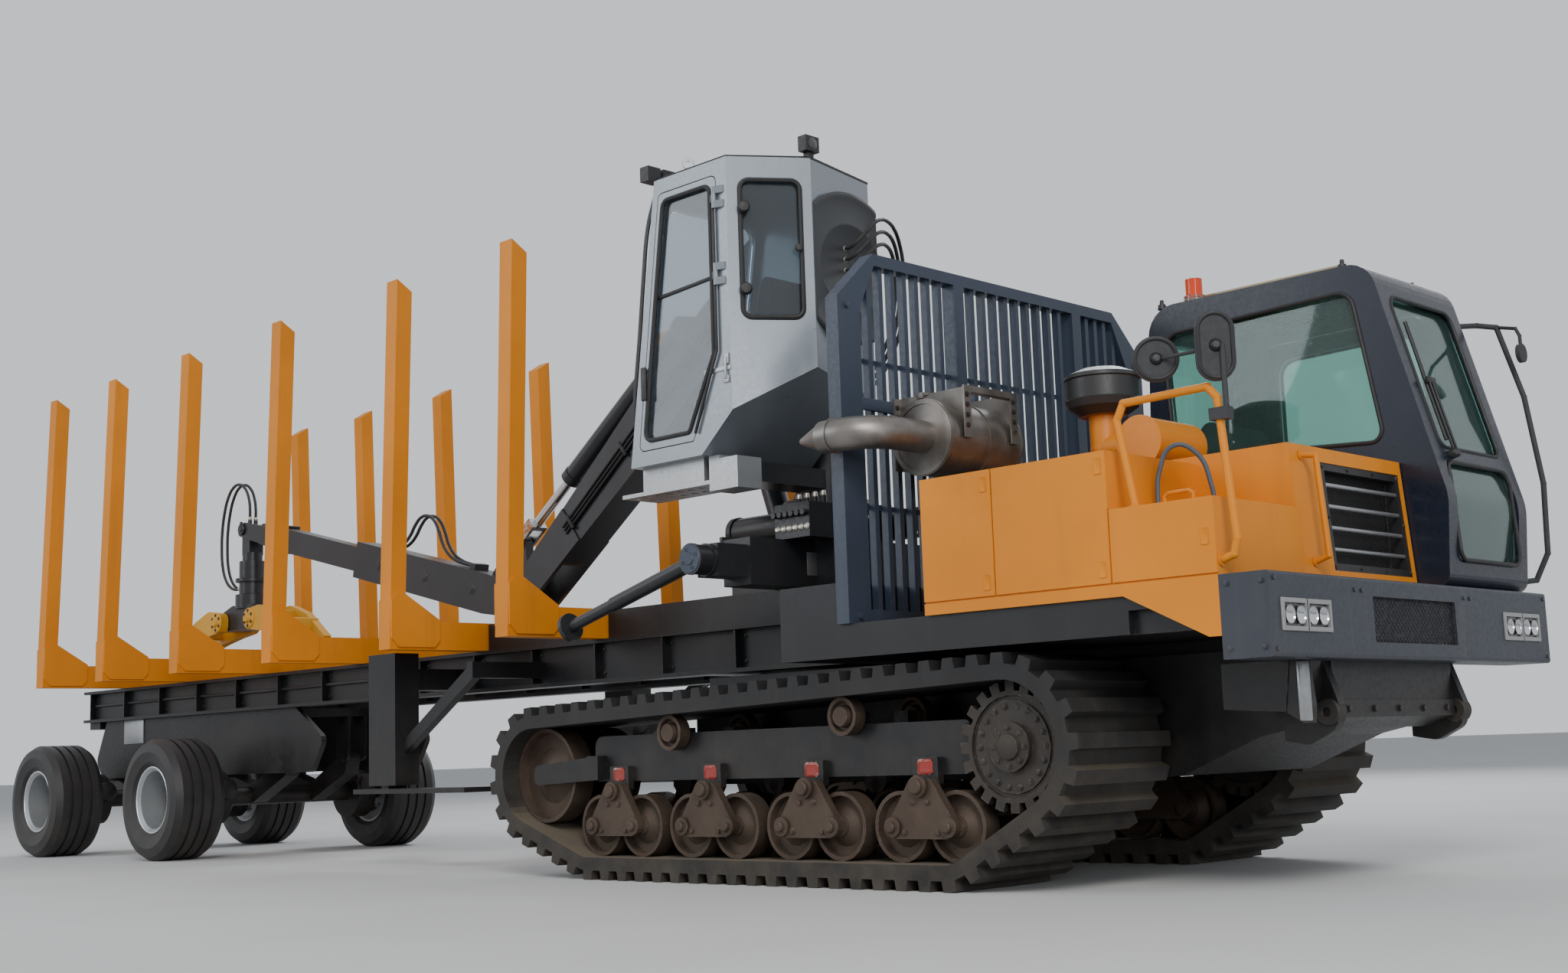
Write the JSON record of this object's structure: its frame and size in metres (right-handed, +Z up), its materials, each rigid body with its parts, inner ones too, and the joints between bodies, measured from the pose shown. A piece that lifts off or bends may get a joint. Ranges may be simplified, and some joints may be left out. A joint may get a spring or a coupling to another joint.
{
  "type": "forestry forwarder",
  "caption": "Tracked forestry carrier with an articulated bunk trailer on wheels, a loader crane with its own cab, and folding stabilisers; it loads and carries logs off soft ground.",
  "frame": {"origin": "on the ground under the middle of the machine's length and width", "axes": "+X points forward, +Y to the machine's left, +Z up"},
  "size_m": [12.034, 2.9409, 3.9623],
  "materials": {
    "body_orange": "semi-gloss orange paint",
    "frame_black": "satin black paint",
    "cab_dark": "gloss dark blue-grey paint",
    "guard_grey": "satin blue-grey paint",
    "crane_cab_grey": "satin light grey paint",
    "crane_dark": "satin dark grey paint",
    "grapple_yellow": "worn yellow-orange paint",
    "track_rubber": "dusty black rubber",
    "tyre_rubber": "dusty black tread",
    "rim_silver": "silver paint",
    "roller_rust": "worn rusty iron",
    "sprocket_iron": "worn dark iron",
    "exhaust_steel": "heat-stained steel",
    "rod_chrome": "polished",
    "lamp_clear": "clear lens",
    "interior_black": "matte",
    "grille_black": "matte",
    "step_grey": "bare",
    "hose_rubber": "satin black rubber",
    "bag_rubber": "matte rubber",
    "window_glass": "tinted clear"
  },
  "bodies": {
    "carrier": {"undercarriage": "frame_black", "bogies": "roller_rust", "sprockets": "sprocket_iron", "tracks": "track_rubber", "main_frame": "frame_black", "hood": "body_orange", "grille": "grille_black", "bumper": "cab_dark", "carrier_lamps": "lamp_clear", "cab_shell": "cab_dark", "cab_glass": "window_glass", "cab_interior": "interior_black", "handrails": "body_orange", "guard": "guard_grey", "muffler": "exhaust_steel", "air_cleaner": "body_orange", "mirrors": "interior_black"},
    "cab_door": {"cab_door": "cab_dark", "cab_door_glass": "window_glass"},
    "trailer": {"trailer_frame": "frame_black", "bunks": "body_orange", "axles": "frame_black", "air_bags": "bag_rubber", "landing_legs": "frame_black", "crane_base": "crane_dark", "valve_block": "crane_dark"},
    "crane": {"crane_column": "crane_dark", "crane_cab": "crane_cab_grey", "crane_cab_glass": "window_glass", "crane_cab_seat": "interior_black", "crane_lamps": "grille_black", "crane_cab_step": "step_grey", "hoses_crane": "hose_rubber"},
    "crane_cab_door": {"crane_cab_door": "crane_cab_grey", "crane_door_glass": "window_glass"},
    "boom": {"boom": "crane_dark"},
    "stick": {"stick": "crane_dark", "hoses_stick": "hose_rubber"},
    "extension": {"extension": "crane_dark"},
    "hanger": {"rotator": "crane_dark", "hoses_tip": "hose_rubber"},
    "grapple": {"grapple_frame": "crane_dark"},
    "claw_front": {"claw_front": "grapple_yellow"},
    "claw_rear": {"claw_rear": "grapple_yellow"},
    "lift_barrel": {"lift_barrel": "crane_dark"},
    "lift_rod": {"lift_rod": "rod_chrome"},
    "stick_barrel": {"stick_barrel": "crane_dark"},
    "stick_rod": {"stick_rod": "rod_chrome"},
    "outrigger_right": {"outrigger_right": "crane_dark"},
    "outrigger_left": {"outrigger_left": "crane_dark"},
    "leg_right": {"leg_right": "crane_dark"},
    "leg_left": {"leg_left": "crane_dark"},
    "wheel_rr": {"tyre_rr": "tyre_rubber", "rim_rr": "rim_silver"},
    "wheel_rl": {"tyre_rl": "tyre_rubber", "rim_rl": "rim_silver"},
    "wheel_fr": {"tyre_fr": "tyre_rubber", "rim_fr": "rim_silver"},
    "wheel_fl": {"tyre_fl": "tyre_rubber", "rim_fl": "rim_silver"}
  },
  "joints": [
    {"name": "cab_door_hinge", "type": "hinge", "parent": "carrier", "child": "cab_door", "pos_m": [4.594, 1.308, 2.1], "axis": [0, 0, 1], "range_deg": [0, 90]},
    {"name": "trailer_pivot", "type": "hinge", "parent": "carrier", "child": "trailer", "pos_m": [2.432, 0, 1.23], "axis": [0, 0, 1], "range_deg": [-20, 20]},
    {"name": "wheel_spin_rr", "type": "hinge", "parent": "trailer", "child": "wheel_rr", "pos_m": [-5.556, -0.94, 0.452], "axis": [0, 1, 0], "continuous": true},
    {"name": "wheel_spin_rl", "type": "hinge", "parent": "trailer", "child": "wheel_rl", "pos_m": [-5.556, 0.94, 0.452], "axis": [0, 1, 0], "continuous": true},
    {"name": "wheel_spin_fr", "type": "hinge", "parent": "trailer", "child": "wheel_fr", "pos_m": [-3.561, -0.94, 0.452], "axis": [0, 1, 0], "continuous": true},
    {"name": "wheel_spin_fl", "type": "hinge", "parent": "trailer", "child": "wheel_fl", "pos_m": [-3.561, 0.94, 0.452], "axis": [0, 1, 0], "continuous": true},
    {"name": "crane_slew", "type": "hinge", "parent": "trailer", "child": "crane", "pos_m": [2.432, 0, 2.4], "axis": [0, 0, 1], "range_deg": [-4, 4]},
    {"name": "crane_door_hinge", "type": "hinge", "parent": "crane", "child": "crane_cab_door", "pos_m": [2.699, -1.086, 3], "axis": [0, 0, 1], "range_deg": [0, 95]},
    {"name": "boom_lift", "type": "hinge", "parent": "crane", "child": "boom", "pos_m": [2.232, 0, 3.68], "axis": [0, 1, 0], "range_deg": [0, 50]},
    {"name": "stick_raise", "type": "hinge", "parent": "boom", "child": "stick", "pos_m": [-0.36836, 0, 1.72049], "axis": [0, 1, 0], "range_deg": [0, 35]},
    {"name": "extension_slide", "type": "slide", "parent": "stick", "child": "extension", "axis": [-0.9724, 0, 0.2334], "range_m": [0, 1.15]},
    {"name": "hanger_swing", "type": "hinge", "parent": "extension", "child": "hanger", "pos_m": [-4.07795, 0, 2.61108], "axis": [0, 1, 0], "range_deg": [-15, 15]},
    {"name": "grapple_turn", "type": "hinge", "parent": "hanger", "child": "grapple", "pos_m": [-4.07795, 0, 2.04], "axis": [0, 0, 1], "continuous": true},
    {"name": "claw_front_close", "type": "hinge", "parent": "grapple", "child": "claw_front", "pos_m": [-3.81795, 0, 1.86], "axis": [0, 1, 0], "range_deg": [0, 55]},
    {"name": "claw_rear_close", "type": "hinge", "parent": "grapple", "child": "claw_rear", "pos_m": [-4.33795, 0, 1.86], "axis": [0, -1, 0], "range_deg": [0, 55]},
    {"name": "lift_barrel_swing", "type": "hinge", "parent": "crane", "child": "lift_barrel", "pos_m": [2.102, 0, 1.9], "axis": [0, 1, 0], "range_deg": [-10, 10]},
    {"name": "lift_rod_slide", "type": "slide", "parent": "lift_barrel", "child": "lift_rod", "axis": [-0.3192, 0, 0.9477], "range_m": [0, 0.697]},
    {"name": "stick_barrel_swing", "type": "hinge", "parent": "boom", "child": "stick_barrel", "pos_m": [1.25282, 0, 3.31778], "axis": [0, 1, 0], "range_deg": [-12, 12]},
    {"name": "stick_rod_slide", "type": "slide", "parent": "stick_barrel", "child": "stick_rod", "axis": [0.8184, 0, 0.5747], "range_m": [0, 0.18]},
    {"name": "outrigger_slide_right", "type": "slide", "parent": "trailer", "child": "outrigger_right", "axis": [0, -1, 0], "range_m": [0, 0.8]},
    {"name": "leg_swing_right", "type": "hinge", "parent": "outrigger_right", "child": "leg_right", "pos_m": [2.602, -1.185, 1.663], "axis": [0, -1, 0], "range_deg": [0, 78]},
    {"name": "outrigger_slide_left", "type": "slide", "parent": "trailer", "child": "outrigger_left", "axis": [0, 1, 0], "range_m": [0, 0.8]},
    {"name": "leg_swing_left", "type": "hinge", "parent": "outrigger_left", "child": "leg_left", "pos_m": [2.602, 1.185, 1.663], "axis": [0, -1, 0], "range_deg": [0, 78]}
  ],
  "couplings": [
    {"joint": "claw_rear_close", "follows": "claw_front_close", "ratio": 1},
    {"joint": "lift_barrel_swing", "follows": "boom_lift", "ratio": -0.0624},
    {"joint": "lift_rod_slide", "follows": "boom_lift", "m_per_rad": 0.7969},
    {"joint": "stick_barrel_swing", "follows": "stick_raise", "ratio": -0.1422},
    {"joint": "stick_rod_slide", "follows": "stick_raise", "m_per_rad": 0.291},
    {"joint": "leg_swing_right", "follows": "outrigger_slide_right", "rad_per_m": 1.7},
    {"joint": "leg_swing_left", "follows": "outrigger_slide_left", "rad_per_m": 1.7}
  ]
}
